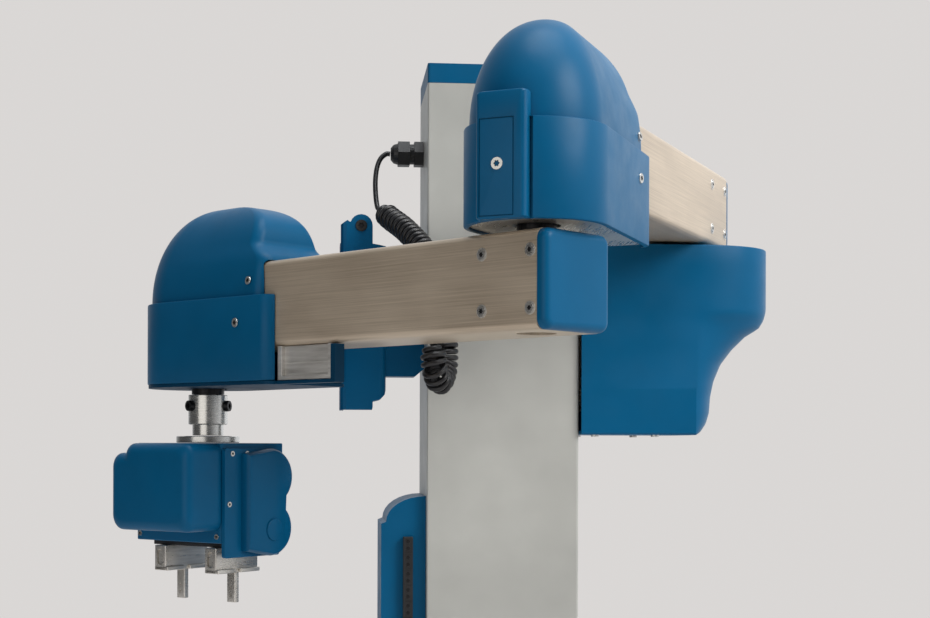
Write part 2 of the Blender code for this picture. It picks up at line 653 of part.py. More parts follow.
def motor_cover(y0, y1, soft):
    """The motor cover: rounded in front view, with softened edges at its outer end."""
    rings = []
    for y, inset in ((y0, 0.0), (y1 + soft, 0.0), (y1 + 0.3 * soft, 0.3 * soft), (y1, soft)):
        outline = rounded_rectangle(-0.0475 + inset, 0.530 + inset, GRIP_X1 - inset, GRIP_TOP - inset,
                                    0.0095 - inset, 4)
        rings.append([(x, y, z) for x, z in outline])
    return loft(rings)


def add_gear_cover(frame):
    """The side cover: a straight rear edge and two round gear bulges, one above the other."""
    outline = [(-0.0430, 0.5040)]
    for cz, radius, start in ((0.531, 0.027, -90.0), (0.582, 0.028, -45.0)):
        for i in range(13):
            angle = math.radians(start + 135.0 * i / 12.0)
            outline.append((0.006 + radius * math.cos(angle), cz + radius * math.sin(angle)))
    outline.append((-0.0430, 0.6100))
    cover = loft([[(x, y, z) for y, z in outline] for x in (GRIP_X1 + GAP, 0.0790)])
    add_object("gripper_gear_cover", cover, frame, "blue")


def add_finger(name, frame):
    """One jaw: a carrier hung under the rail, with a foot lip, a slot and a flat pin."""
    z1 = 0.5125 - GAP
    outline = [(-0.0080, 0.4870), (0.0110, 0.4870), (0.0110, 0.4915), (0.0080, 0.4925), (0.0080, z1),
               (-0.0080, z1)]
    carrier = add_object(name + "_jaw", profile_y(outline, -0.0310, 0.0270), frame, "aluminium")
    slot = rounded_rectangle(-0.0035, 0.4930, 0.0035, 0.5070, 0.0030)
    cut = loft([[(x, y, z) for x, z in slot] for y in (-0.040, -0.020)])
    boolean(carrier, add_cutter(name + "_slot", cut, frame))
    pin = box((-0.0055, -0.0030, 0.4570), (0.0055, 0.0030, 0.4870 - GAP))
    add_object(name + "_pin", pin, frame, "aluminium")


# ---------------------------------------------------------------- cord

CORD_RADIUS = 0.00265
COIL_RADIUS = 0.0125


def smooth_path(points, steps):
    """A Catmull-Rom curve through the points."""
    nodes = [Vector(point) for point in points]
    nodes = [2 * nodes[0] - nodes[1]] + nodes + [2 * nodes[-1] - nodes[-2]]
    path = []
    for a, b, c, d in zip(nodes, nodes[1:], nodes[2:], nodes[3:]):
        for i in range(steps):
            t = i / steps
            path.append(0.5 * (2 * b + (c - a) * t + (2 * a - 5 * b + 4 * c - d) * t ** 2
                               + (3 * b - a - 3 * c + d) * t ** 3))
    path.append(nodes[-2])
    return path


def add_cord(name, points, radius, steps):
    curve = bpy.data.curves.new(name, "CURVE")
    curve.dimensions = "3D"
    curve.bevel_depth = radius
    curve.bevel_resolution = 2
    curve.use_fill_caps = True
    path = smooth_path(points, steps)
    spline = curve.splines.new("POLY")
    spline.points.add(len(path) - 1)
    for target, point in zip(spline.points, path):
        target.co = (*point, 1.0)
    piece = bpy.data.objects.new(name, curve)
    bpy.context.scene.collection.objects.link(piece)
    curve.materials.append(make_material(name + "_finish", *FINISHES["rubber"]))


LEAD_ROUTE = ((-0.1125, 0.010, 0.9200), (-0.1165, 0.010, 0.9200), (-0.1225, 0.008, 0.9145),
              (-0.1265, 0.004, 0.9040), (-0.1283, -0.002, 0.8890), (-0.1280, -0.0095, 0.8720),
              (-0.1264, -0.0164, 0.8596), (-0.1237, -0.0217, 0.8564))
COIL_ROUTE = ((-0.1232, -0.0226, 0.8558), (-0.1130, -0.0422, 0.8440), (-0.0980, -0.072, 0.8270),
              (-0.0800, -0.108, 0.7980), (-0.0680, -0.135, 0.7550), (-0.0660, -0.146, 0.7150),
              (-0.0670, -0.152, 0.6920), (-0.0725, -0.166, 0.6785), (-0.0780, -0.180, 0.6860),
              (-0.0800, -0.184, 0.7020), (-0.0782, -0.1828, 0.7120))
TAIL_ROUTE = ((-0.0781, -0.1827, 0.7127), (-0.0758, -0.1818, 0.7240), (-0.0748, -0.1828, 0.7345),
              (-0.0775, -0.1858, 0.7425), (-0.0826, -0.1905, 0.7450))


def build():
    for item in list(bpy.data.objects):
        bpy.data.objects.remove(item, do_unlink=True)
    column = add_frame("column_frame", (0.0, 0.0, 0.0), 0.0)
    screw = add_frame("drive_screw_axis", (0.0, 0.0, 0.0), 0.0)
    carriage = add_frame("carriage_frame", (0.0, 0.0, 0.0), 0.0)
    upper = add_frame("shoulder_axis", SHOULDER, UPPER_ANGLE)
    elbow = SHOULDER + UPPER_LENGTH * Vector((math.cos(UPPER_ANGLE), math.sin(UPPER_ANGLE), 0.0))
    forearm = add_frame("elbow_axis", elbow, FORE_ANGLE)
    wrist = elbow + FORE_LENGTH * Vector((math.cos(FORE_ANGLE), math.sin(FORE_ANGLE), 0.0))
    tool = add_frame("wrist_axis", wrist, TOOL_ANGLE)
    add_column(column)
    add_drive_screw(screw)
    add_carriage(carriage)
    add_upper_arm(upper)
    add_forearm(forearm)
    add_tool(tool)
    for name, side in (("finger_left", -1.0), ("finger_right", 1.0)):
        add_finger(name, add_frame(name + "_frame", (side * JAW_X, 0.0, 0.0), 0.0, tool))
    add_cord("cord_lead", LEAD_ROUTE, CORD_RADIUS, 4)
    add_cord("cord_coil", COIL_ROUTE, COIL_RADIUS, 3)
    add_cord("cord_tail", TAIL_ROUTE, CORD_RADIUS, 3)


build()
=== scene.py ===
import math

import bmesh
import bpy
from mathutils import Matrix, Vector


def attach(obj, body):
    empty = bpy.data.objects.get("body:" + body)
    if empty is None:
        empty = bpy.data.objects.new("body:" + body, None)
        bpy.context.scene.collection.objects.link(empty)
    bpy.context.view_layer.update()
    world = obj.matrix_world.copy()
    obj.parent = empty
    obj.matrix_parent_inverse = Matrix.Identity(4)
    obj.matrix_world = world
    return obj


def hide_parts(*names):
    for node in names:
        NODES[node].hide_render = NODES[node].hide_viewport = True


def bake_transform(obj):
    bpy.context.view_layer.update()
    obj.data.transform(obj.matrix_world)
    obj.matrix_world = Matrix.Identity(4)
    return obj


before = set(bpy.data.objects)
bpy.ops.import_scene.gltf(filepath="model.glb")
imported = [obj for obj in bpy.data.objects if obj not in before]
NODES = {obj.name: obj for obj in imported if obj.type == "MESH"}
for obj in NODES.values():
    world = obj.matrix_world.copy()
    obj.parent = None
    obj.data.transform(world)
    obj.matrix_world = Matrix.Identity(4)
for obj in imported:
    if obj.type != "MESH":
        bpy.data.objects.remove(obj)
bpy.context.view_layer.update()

# Metres, in the CAD frame. Heights are each tube's underside; the arm frames run along X away from the joint.
SHOULDER = Vector((0.197, 0.0, 0.0))
UPPER_LENGTH, UPPER_ANGLE, UPPER_Z = 0.425, math.radians(-119.0), 0.823
FORE_LENGTH, FORE_ANGLE, FORE_Z = 0.440, math.radians(131.0), 0.705
TOOL_ANGLE = math.radians(-42.0)
TUBE, TUBE_WALL, TUBE_CORNER = 0.080, 0.004, 0.0065
TUBE_TAIL, TUBE_NOSE = 0.035, 0.020
HOUSING_RADIUS, HOUSING_HALF, HOUSING_END, HOUSING_CORNER = 0.060, 0.050, 0.156, 0.014
DOME_RADIUS, DOME_HALF, DOME_TOP, DOME_CROWN = 0.0555, 0.0465, 0.1425, 0.030
DOME_WALL, DOME_OPENING = 0.003, 0.085
SKIRT_LOW, SKIRT_HIGH, SKIRT_WALL, SKIRT_EDGE = -0.032, 0.048, 0.0045, 0.0014
DUCT_Y = -0.006
GAP = 0.0003


# ---------------------------------------------------------------- frames

def arm_frame(origin, angle):
    """A frame at a joint, with X along the arm."""
    return Matrix.Translation(origin) @ Matrix.Rotation(angle, 4, "Z")


ELBOW = SHOULDER + UPPER_LENGTH * Vector((math.cos(UPPER_ANGLE), math.sin(UPPER_ANGLE), 0.0))
WRIST = ELBOW + FORE_LENGTH * Vector((math.cos(FORE_ANGLE), math.sin(FORE_ANGLE), 0.0))
WORLD = Matrix.Identity(4)
UPPER = arm_frame(SHOULDER, UPPER_ANGLE)
FORE = arm_frame(ELBOW, FORE_ANGLE)
TOOL = arm_frame(WRIST, TOOL_ANGLE)


# ---------------------------------------------------------------- camera, light and floor

def make_camera():
    """The photograph's camera: level, shifted up, turned a little to the right."""
    data = bpy.data.cameras.new("camera")
    camera = bpy.data.objects.new("camera", data)
    bpy.context.scene.collection.objects.link(camera)
    turn = Matrix.Rotation(math.radians(-5.237), 4, "Z") @ Matrix.Rotation(math.pi / 2.0, 4, "X")
    turn = turn @ Matrix.Rotation(math.radians(0.17), 4, "Z")
    camera.matrix_world = Matrix.Translation((-0.1837, -1.6407, 0.6140)) @ turn
    data.sensor_width = 36.0
    data.lens = 60.7
    data.shift_y = 0.1463
    data.dof.use_dof = False
    bpy.context.scene.camera = camera


def make_light(name, location, target, size, energy, colour):
    """A round soft light aimed at a target."""
    data = bpy.data.lights.new(name, "AREA")
    data.shape = "DISK"
    data.size = size
    data.energy = energy
    data.color = colour
    light = bpy.data.objects.new(name, data)
    bpy.context.scene.collection.objects.link(light)
    light.location = location
    direction = Vector(target) - Vector(location)
    light.rotation_euler = direction.to_track_quat("-Z", "Y").to_euler()


def make_world():
    """A pale room, brighter behind and to the right; the camera itself sees one plain tone."""
    world = bpy.data.worlds.new("studio")
    bpy.context.scene.world = world
    world.use_nodes = True
    nodes, links = world.node_tree.nodes, world.node_tree.links
    nodes.clear()
    output = nodes.new("ShaderNodeOutputWorld")
    coords = nodes.new("ShaderNodeTexCoord")
    side = nodes.new("ShaderNodeVectorMath")
    side.operation = "DOT_PRODUCT"
    side.inputs[1].default_value = (0.58, 0.50, 0.42)
    reach = nodes.new("ShaderNodeMapRange")
    reach.inputs["From Min"].default_value = -0.30
    reach.inputs["From Max"].default_value = 0.85
    reach.inputs["To Min"].default_value = 0.06
    reach.inputs["To Max"].default_value = 1.00
    lit = nodes.new("ShaderNodeBackground")
    lit.inputs["Color"].default_value = (0.95, 0.97, 1.0, 1.0)
    plain = nodes.new("ShaderNodeBackground")
    plain.inputs["Color"].default_value = (0.700, 0.680, 0.668, 1.0)
    rays = nodes.new("ShaderNodeLightPath")
    mix = nodes.new("ShaderNodeMixShader")
    links.new(coords.outputs["Generated"], side.inputs[0])
    links.new(side.outputs["Value"], reach.inputs["Value"])
    links.new(reach.outputs["Result"], lit.inputs["Strength"])
    links.new(rays.outputs["Is Camera Ray"], mix.inputs["Fac"])
    links.new(lit.outputs["Background"], mix.inputs[1])
    links.new(plain.outputs["Background"], mix.inputs[2])
    links.new(mix.outputs["Shader"], output.inputs["Surface"])


def make_floor():
    """A round floor just under the base; it is staging, not part of the object."""
    bm = bmesh.new()
    bmesh.ops.create_circle(bm, cap_ends=True, segments=96, radius=3.4)
    mesh = bpy.data.meshes.new("floor")
    bm.to_mesh(mesh)
    bm.free()
    floor = bpy.data.objects.new("floor", mesh)
    floor.location = (0.0, 0.0, -0.0005)
    bpy.context.scene.collection.objects.link(floor)
    mesh.materials.append(paint("floor_paint", (0.62, 0.60, 0.59), 0.6, 0.0))


# ---------------------------------------------------------------- materials

def new_material(name):
    material = bpy.data.materials.new(name)
    material.use_nodes = True
    tree = material.node_tree
    return material, tree.nodes, tree.links, tree.nodes["Principled BSDF"]


def add_noise(nodes, links, scale, detail, stretch=(1.0, 1.0, 1.0)):
    """Noise fixed to the piece, stretched along its axes."""
    coords = nodes.new("ShaderNodeTexCoord")
    mapping = nodes.new("ShaderNodeMapping")
    mapping.inputs["Scale"].default_value = stretch
    noise = nodes.new("ShaderNodeTexNoise")
    noise.inputs["Scale"].default_value = scale
    noise.inputs["Detail"].default_value = detail
    links.new(coords.outputs["Object"], mapping.inputs["Vector"])
    links.new(mapping.outputs["Vector"], noise.inputs["Vector"])
    return noise.outputs["Fac"]


def add_ramp(nodes, links, value, stops):
    ramp = nodes.new("ShaderNodeValToRGB")
    elements = ramp.color_ramp.elements
    while len(elements) < len(stops):
        elements.new(0.5)
    for element, (place, colour) in zip(elements, stops):
        element.position = place
        element.color = (*colour, 1.0)
    links.new(value, ramp.inputs["Fac"])
    return ramp.outputs["Color"]


def add_range(nodes, links, value, low, high):
    """The middle of a noise, spread between two values."""
    reach = nodes.new("ShaderNodeMapRange")
    reach.inputs["From Min"].default_value = 0.3
    reach.inputs["From Max"].default_value = 0.7
    reach.inputs["To Min"].default_value = low
    reach.inputs["To Max"].default_value = high
    links.new(value, reach.inputs["Value"])
    return reach.outputs["Result"]


def add_bump(nodes, links, shader, height, strength, distance):
    bump = nodes.new("ShaderNodeBump")
    bump.inputs["Strength"].default_value = strength
    bump.inputs["Distance"].default_value = distance
    links.new(height, bump.inputs["Height"])
    links.new(bump.outputs["Normal"], shader.inputs["Normal"])


def tint(colour, factor):
    return tuple(channel * factor for channel in colour)


def paint(name, colour, roughness, metallic=0.0, grain=900.0, depth=0.10, gleam=0.5):
    """A satin coat: slow tone changes, uneven gloss and a fine sprayed grain."""
    material, nodes, links, shader = new_material(name)
    slow = add_noise(nodes, links, 9.0, 4.0)
    stops = ((0.30, tint(colour, 0.88)), (0.70, tint(colour, 1.08)))
    links.new(add_ramp(nodes, links, slow, stops), shader.inputs["Base Color"])
    patch = add_noise(nodes, links, 38.0, 5.0)
    gloss = add_range(nodes, links, patch, roughness - 0.05, roughness + 0.06)
    links.new(gloss, shader.inputs["Roughness"])
    shader.inputs["Metallic"].default_value = metallic
    shader.inputs["Specular IOR Level"].default_value = gleam
    fine = add_noise(nodes, links, grain, 2.0)
    add_bump(nodes, links, shader, fine, depth, 0.0004)
    return material


def brushed(name, dark, light, roughness=0.34, stretch=(1.2, 130.0, 130.0), metallic=0.85):
    """Metal with long fine streaks along X, broad stains and uneven gloss."""
    material, nodes, links, shader = new_material(name)
    streak = add_noise(nodes, links, 9.0, 6.0, stretch)
    stain = add_noise(nodes, links, 7.0, 5.0, (1.0, 2.2, 2.2))
    mix = nodes.new("ShaderNodeMath")
    mix.operation = "ADD"
    half = nodes.new("ShaderNodeMath")
    half.operation = "MULTIPLY"
    half.inputs[1].default_value = 0.5
    links.new(streak, mix.inputs[0])
    links.new(stain, mix.inputs[1])
    links.new(mix.outputs[0], half.inputs[0])
    tone = add_ramp(nodes, links, half.outputs[0], ((0.32, dark), (0.68, light)))
    links.new(tone, shader.inputs["Base Color"])
    shader.inputs["Metallic"].default_value = metallic
    gloss = add_range(nodes, links, half.outputs[0], roughness - 0.08, roughness + 0.10)
    links.new(gloss, shader.inputs["Roughness"])
    add_bump(nodes, links, shader, streak, 0.16, 0.0003)
    return material


def make_materials():
    return {
        "blue": paint("blue_satin", (0.0001, 0.099, 0.226), 0.38, gleam=0.16),
        "blue_box": paint("blue_coat", (0.0001, 0.099, 0.226), 0.42, gleam=0.16, grain=1400.0, depth=0.16),
        "blue_dark": paint("blue_shadow", (0.0001, 0.040, 0.092), 0.50, gleam=0.12),
        "grey": paint("grey_anodised", (0.49, 0.495, 0.468), 0.42, 0.15, grain=1800.0, depth=0.05),
        "black": paint("black_moulded", (0.014, 0.014, 0.016), 0.42, grain=1200.0),
        "sheath": paint("cord_sheath", (0.010, 0.010, 0.012), 0.33, grain=700.0),
        # painted shade: a near-black colour for the screw recesses, standing in for the shade inside them
        "hole": paint("painted_recess_shade", (0.006, 0.006, 0.007), 0.7),
        "steel": brushed("tube_steel", (0.42, 0.335, 0.245), (0.70, 0.59, 0.46), metallic=0.38),
        "bright": brushed("machined_metal", (0.60, 0.57, 0.52), (0.84, 0.81, 0.76), 0.30,
                          (60.0, 4.0, 60.0), 0.75),
        "turned": brushed("turned_metal", (0.60, 0.59, 0.56), (0.84, 0.83, 0.80), 0.24, (8.0, 8.0, 160.0)),
        "screw_dark": brushed("dark_screw", (0.03, 0.028, 0.026), (0.10, 0.095, 0.09), 0.40,
                              (40.0, 40.0, 40.0)),
        "cast": brushed("worn_metal", (0.44, 0.42, 0.39), (0.80, 0.78, 0.74), 0.36, (3.0, 14.0, 40.0), 0.45),
        "screw": brushed("screw_metal", (0.50, 0.49, 0.46), (0.80, 0.79, 0.76), 0.28, (40.0, 40.0, 40.0)),
        "black_metal": paint("blackened_metal", (0.018, 0.018, 0.020), 0.35, 0.6),
    }


# ---------------------------------------------------------------- mesh helpers

def add_piece(name, bm, place, body, finishes, replaced=(), sharp=32.0, cutters=()):
    """Put a mesh into the scene, cut it, shade it, and let it ride on a body."""
    bmesh.ops.recalc_face_normals(bm, faces=bm.faces)
    mesh = bpy.data.meshes.new(name)
    bm.to_mesh(mesh)
    bm.free()
    piece = bpy.data.objects.new(name, mesh)
    bpy.context.scene.collection.objects.link(piece)
    for cutter in cutters:
        cut(piece, cutter)
    mesh = piece.data
    mesh.shade_smooth()
    mesh.set_sharp_from_angle(angle=math.radians(sharp))
    for finish in finishes if isinstance(finishes, (list, tuple)) else [finishes]:
        mesh.materials.append(MATERIALS[finish])
    piece.matrix_world = place
    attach(piece, body)
    if replaced:
        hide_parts(*replaced)
    return piece


def cut(piece, cutter):
    """Take away one mesh, given in the piece's own coordinates."""
    bmesh.ops.recalc_face_normals(cutter, faces=cutter.faces)
    mesh = bpy.data.meshes.new("cutter")
    cutter.to_mesh(mesh)
    cutter.free()
    tool = bpy.data.objects.new("cutter", mesh)
    bpy.context.scene.collection.objects.link(tool)
    modifier = piece.modifiers.new("cut", "BOOLEAN")
    modifier.operation = "DIFFERENCE"
    modifier.solver = "EXACT"
    modifier.object = tool
    graph = bpy.context.evaluated_depsgraph_get()
    result = bpy.data.meshes.new_from_object(piece.evaluated_get(graph))
    piece.modifiers.clear()
    piece.data = result
    bpy.data.objects.remove(tool)


def join(*meshes):
    """Several bmeshes as one."""
    whole = bmesh.new()
    for bm in meshes:
        step = bpy.data.meshes.new("step")
        bm.to_mesh(step)
        bm.free()
        whole.from_mesh(step)
        bpy.data.meshes.remove(step)
    return whole


def loft(rings, closed_loop=False):
    """A skin over equal rings, capped at both ends or run back into its first ring."""
    bm = bmesh.new()
    loops = [[bm.verts.new(point) for point in ring] for ring in rings]
    count = len(loops[0])
    pairs = list(zip(loops, loops[1:]))
    if closed_loop:
        pairs.append((loops[-1], loops[0]))
    else:
        bm.faces.new(loops[0][::-1])
        bm.faces.new(loops[-1])
    for lower, upper in pairs:
        for i in range(count):
            j = (i + 1) % count
            bm.faces.new((lower[i], lower[j], upper[j], upper[i]))
    return bm


def prism(outline, z0, z1):
    """An outline in X and Y, raised from one height to another."""
    return loft([[(x, y, z) for x, y in outline] for z in (z0, z1)])


def box(low, high):
    x0, y0, z0 = low
    x1, y1, z1 = high
    return prism([(x0, y0), (x1, y0), (x1, y1), (x0, y1)], z0, z1)


def circle(radius, segments=48, centre=(0.0, 0.0)):
    return [(centre[0] + radius * math.cos(2.0 * math.pi * i / segments),
             centre[1] + radius * math.sin(2.0 * math.pi * i / segments)) for i in range(segments)]


def turned(profile, segments=48, centre=(0.0, 0.0)):
    """A solid through (radius, z) circles."""
    return loft([[(x, y, z) for x, y in circle(radius, segments, centre)] for radius, z in profile])


def rounded_rectangle(x0, y0, x1, y1, radius, steps=8):
    corners = ((x1 - radius, y0 + radius, -90.0), (x1 - radius, y1 - radius, 0.0),
               (x0 + radius, y1 - radius, 90.0), (x0 + radius, y0 + radius, 180.0))
    points = []
    for cx, cy, start in corners:
        for i in range(steps + 1):
            angle = math.radians(start + 90.0 * i / steps)
            points.append((cx + radius * math.cos(angle), cy + radius * math.sin(angle)))
    return points


def soft_box(low, high, corner, edge, steps=6):
    """A box with round vertical edges and a soft rim above and below."""
    rings = []
    for i in range(5):
        angle = math.pi / 2.0 * i / 4.0
        rings.append((edge * (1.0 - math.sin(angle)), low[2] + edge * (1.0 - math.cos(angle))))
    rings += [(inset, high[2] + low[2] - z) for inset, z in rings[::-1]]

    def plan(inset):
        return rounded_rectangle(low[0] + inset, low[1] + inset, high[0] - inset, high[1] - inset,
                                 max(corner - inset, 0.0002), steps)
    return loft([[(x, y, z) for x, y in plan(inset)] for inset, z in rings])


def moved(bm, matrix):
    bmesh.ops.transform(bm, matrix=matrix, verts=bm.verts)
    return bm


def facing(origin, normal):
    """A frame at a point whose Z axis is a direction."""
    turn = Vector(normal).to_track_quat("Z", "Y").to_matrix().to_4x4()
    return Matrix.Translation(origin) @ turn


def screw_head(origin, normal, radius, height=0.0009, dome=0.0):
    """A screw head with a six-lobed recess; its recess takes the second material, a near-black painted shade.
    """
    def star(size, z):
        return [((size + 0.16 * size * math.cos(6.0 * a)) * math.cos(a),
                 (size + 0.16 * size * math.cos(6.0 * a)) * math.sin(a), z)
                for a in (2.0 * math.pi * i / 48.0 for i in range(48))]

    def ring(size, z):
        return [(x, y, z) for x, y in circle(size)]
    rings = [ring(radius, 0.0), ring(radius, 0.5 * height), ring(radius * 0.955, height),
             ring(radius * 0.75, height + 0.7 * dome), star(radius * 0.47, height + dome),
             star(radius * 0.42, 0.15 * height)]
    bm = loft(rings)
    # the faces deep in the recess get the second material, the painted shade
    for face in bm.faces:
        reach = max(v.co.xy.length for v in face.verts)
        low = min(v.co.z for v in face.verts)
        if reach < radius * 0.60 and low < height * 0.5:
            face.material_index = 1
    return moved(bm, facing(origin, normal))


# ---------------------------------------------------------------- joint housings

def housing_outline(radius, half, end, corner, sweep_steps=64):
    """A teardrop plan: a round nose at the joint, straight sides and a square back with round corners."""
    lean = math.asin(radius / math.hypot(end, half)) - math.atan2(half, end)
    tangent = math.pi / 2.0 - lean
    cx = end - corner
    cy = (radius - corner - cx * math.cos(tangent)) / math.sin(tangent)
    points = []
    for sign in (-1.0, 1.0):
        for i in range(9):
            angle = tangent * (i / 8.0 - (1.0 if sign < 0.0 else 0.0))
            points.append((cx + corner * math.cos(angle), sign * cy + corner * math.sin(angle)))
    sides = 2.0 * (math.pi - tangent)
    for i in range(sweep_steps + 1):
        angle = tangent + sides * i / sweep_steps
        points.append((radius * math.cos(angle), radius * math.sin(angle)))
    return points


def inset_housing(inset, radius=HOUSING_RADIUS, half=HOUSING_HALF):
    return housing_outline(radius - inset, half - inset, HOUSING_END - inset, HOUSING_CORNER - inset)


def add_skirt(name, place, length, z, body):
    """The open lower half of a joint housing, with a slot for its tube; the elbow's has a groove too."""
    wall, edge = SKIRT_WALL, SKIRT_EDGE
    levels = [(wall, z + SKIRT_LOW), (edge, z + SKIRT_LOW), (0.3 * edge, z + SKIRT_LOW + 0.3 * edge),
              (0.0, z + SKIRT_LOW + edge), (0.0, z + SKIRT_HIGH - edge),
              (0.3 * edge, z + SKIRT_HIGH - 0.3 * edge), (edge, z + SKIRT_HIGH), (wall, z + SKIRT_HIGH)]
    rings = [[(length - s, o, height) for s, o in inset_housing(inset)] for inset, height in levels]
    x0 = length - HOUSING_END - 0.01
    cutters = [box((x0, -0.041, z - 0.06), (x0 + 0.03, 0.041, z + 0.06))]
    if name == "elbow_skirt":
        cutters.append(box((length + 0.0538, DUCT_Y + 0.0216, z - 0.05),
                           (length + 0.07, DUCT_Y + 0.0246, z + 0.0475)))
    return add_piece(name + "_cover", loft(rings, True), place, body, "blue", [name], cutters=cutters)


def dome_ring(outline, share, length, base_z, height):
    """The dome's plan at a share of its height: a round front, and a back that steps in at mid height."""
    side = math.sqrt(max(0.0, 1.0 - share ** 2))
    front = max(0.0, 1.0 - share ** 2.2) ** (1.0 / 2.2)
    collar = min(1.0, max(0.0, (0.55 - share) / 0.20))
    back = 0.76 * max(0.0, 1.0 - share ** 7) ** (1.0 / 2.2) + 0.13 * collar * collar * (3.0 - 2.0 * collar)
    ring = []
    for s, offset in outline:
        reach = s - DOME_CROWN
        reach *= front if reach < 0.0 else back
        ring.append((length - DOME_CROWN - reach, offset * side, base_z + height * share))
    return ring


def add_dome(name, place, length, z, body):
    """The hollow upper half of a joint housing, open at the back for its tube."""
    base_z = z + SKIRT_HIGH + GAP
    height = DOME_TOP - SKIRT_HIGH - GAP
    shares = [math.sin(math.pi / 2.0 * i / 44.0) for i in range(44)] + [0.9997]
    outer = inset_housing(0.0, DOME_RADIUS, DOME_HALF)
    inner = inset_housing(DOME_WALL, DOME_RADIUS, DOME_HALF)
    shells = ([dome_ring(outer, share, length, base_z, height) for share in shares],
              [dome_ring(inner, share, length, base_z, height - DOME_WALL) for share in shares])
    bm = bmesh.new()
    loops = [[[bm.verts.new(point) for point in ring] for ring in rings] for rings in shells]
    count = len(outer)
    for shell in loops:
        bm.faces.new(shell[-1])
        for lower, upper in zip(shell, shell[1:]):
            for i in range(count):
                j = (i + 1) % count
                bm.faces.new((lower[i], lower[j], upper[j], upper[i]))
    for i in range(count):
        j = (i + 1) % count
        bm.faces.new((loops[0][0][i], loops[0][0][j], loops[1][0][j], loops[1][0][i]))
    x0 = length - HOUSING_END - 0.02
    outline = rounded_rectangle(-0.041, base_z - 0.03, 0.041, z + TUBE + 0.001, 0.006)
    opening = loft([[(x, y, h) for y, h in outline] for x in (x0, x0 + DOME_OPENING)])
    return add_piece(name + "_cover", bm, place, body, "blue", [name], sharp=38.0, cutters=[opening])


def add_duct_cover(place, length, z):
    """The flat cable duct on the elbow's outer end, with its inset panel and screw."""
    def outline(half, front, corner, back):
        points = []
        for start in (-90.0, 0.0):
            cy = DUCT_Y + (-half + corner if start < 0.0 else half - corner)
            for i in range(7):
                angle = math.radians(start + 90.0 * i / 6.0)
                points.append((length + front - corner + corner * math.cos(angle),
                               cy + corner * math.sin(angle)))
        points += [(length + back, DUCT_Y + half - 0.0002), (length + back, DUCT_Y - half + 0.0002)]
        return points
    low, high = z + SKIRT_LOW, z + SKIRT_HIGH + 0.0206
    levels = [(0.0012, low), (0.0, low + 0.0012), (0.0, high - 0.0022), (0.0008, high - 0.0007),
              (0.0024, high)]
    rings = [[(x, y, h) for x, y in outline(0.0215 - inset, 0.0650 - inset, 0.0045, 0.040)]
             for inset, h in levels]
    hollow = turned([(HOUSING_RADIUS + GAP, low - 0.01), (HOUSING_RADIUS + GAP, z + SKIRT_HIGH)], 96,
                    (length, 0.0))
    rear = turned([(DOME_RADIUS + 0.0006, z), (DOME_RADIUS + 0.0006, high + 0.01)], 96, (length, 0.0))
    panel = box((length + 0.0636, -0.0240, low + 0.002), (length + 0.0700, 0.0055, z + SKIRT_HIGH - 0.001))
    add_piece("duct_cover", loft(rings), place, "upper_arm", "blue", ["elbow_duct_cover"],
              cutters=[hollow, rear, panel])
    lid = soft_box((-0.0234, low + 0.0026, 0.0), (0.0049, z + SKIRT_HIGH - 0.0016, 0.0012), 0.0012, 0.0005)
    turn = Matrix(((0, 0, 1, length + 0.0636), (1, 0, 0, 0), (0, 1, 0, 0), (0, 0, 0, 1)))
    add_piece("duct_panel", moved(lid, turn), place, "upper_arm", "blue")
    head = screw_head((length + 0.0646, -0.0085, z + 0.0110), (1, 0, 0), 0.0050)
    add_piece("duct_screw", head, place, "upper_arm", ["screw", "hole"])


def add_housing_screws(name, place, length, z, body):
    """One screw in the skirt and one in the dome, on each side."""
    heads = []
    for side in (-1.0, 1.0):
        heads.append(screw_head((length - 0.112, side * 0.0533, z + 0.023), (0.075, side, 0), 0.0044))
        heads.append(screw_head((length - 0.125, side * 0.0482, z + 0.062), (0.06, side, 0.12), 0.0040))
    add_piece(name, join(*heads), place, body, ["screw", "hole"])


# ---------------------------------------------------------------- arms

def add_tube(name, place, length, z, body, holes):
    """A square tube; each hole is its place along the tube, its radius and its two heights."""
    half, wall = TUBE / 2, TUBE_WALL
    outer = rounded_rectangle(-half, -half, half, half, TUBE_CORNER)
    inner = rounded_rectangle(-half + wall, -half + wall, half - wall, half - wall, 0.0025)
    x0, x1 = -TUBE_TAIL, length + TUBE_NOSE
    rings = [[(x, y, z + half + h) for y, h in outline]
             for outline, x in ((outer, x0), (outer, x1), (inner, x1), (inner, x0))]
    cutters = [turned([(radius, z + low), (radius, z + high)], 64, (x, 0.0))
               for x, radius, low, high in holes]
    return add_piece(name + "_section", loft(rings, True), place, body, "steel", [name], cutters=cutters)


def add_tube_screws(name, place, z, body):
    """Countersunk heads beside the hinge, on both sides of the tube, each in a bright dished ring."""
    heads, dishes = [], []
    for side in (-1.0, 1.0):
        for x in (-TUBE_TAIL + 0.007, -TUBE_TAIL + 0.059):
            for h in (0.0171, 0.0629):
                at = (x, side * (TUBE / 2), z + h)
                heads.append(screw_head(at, (0, side, 0), 0.0041, 0.0010))
                dish = turned([(0.0056, 0.0), (0.0055, 0.0003), (0.0044, 0.0005), (0.0043, 0.0001)], 40)
                dishes.append(moved(dish, facing(at, (0, side, 0))))
    add_piece(name + "_heads", join(*heads), place, body, ["screw", "hole"])
    add_piece(name + "_dishes", join(*dishes), place, body, "bright")


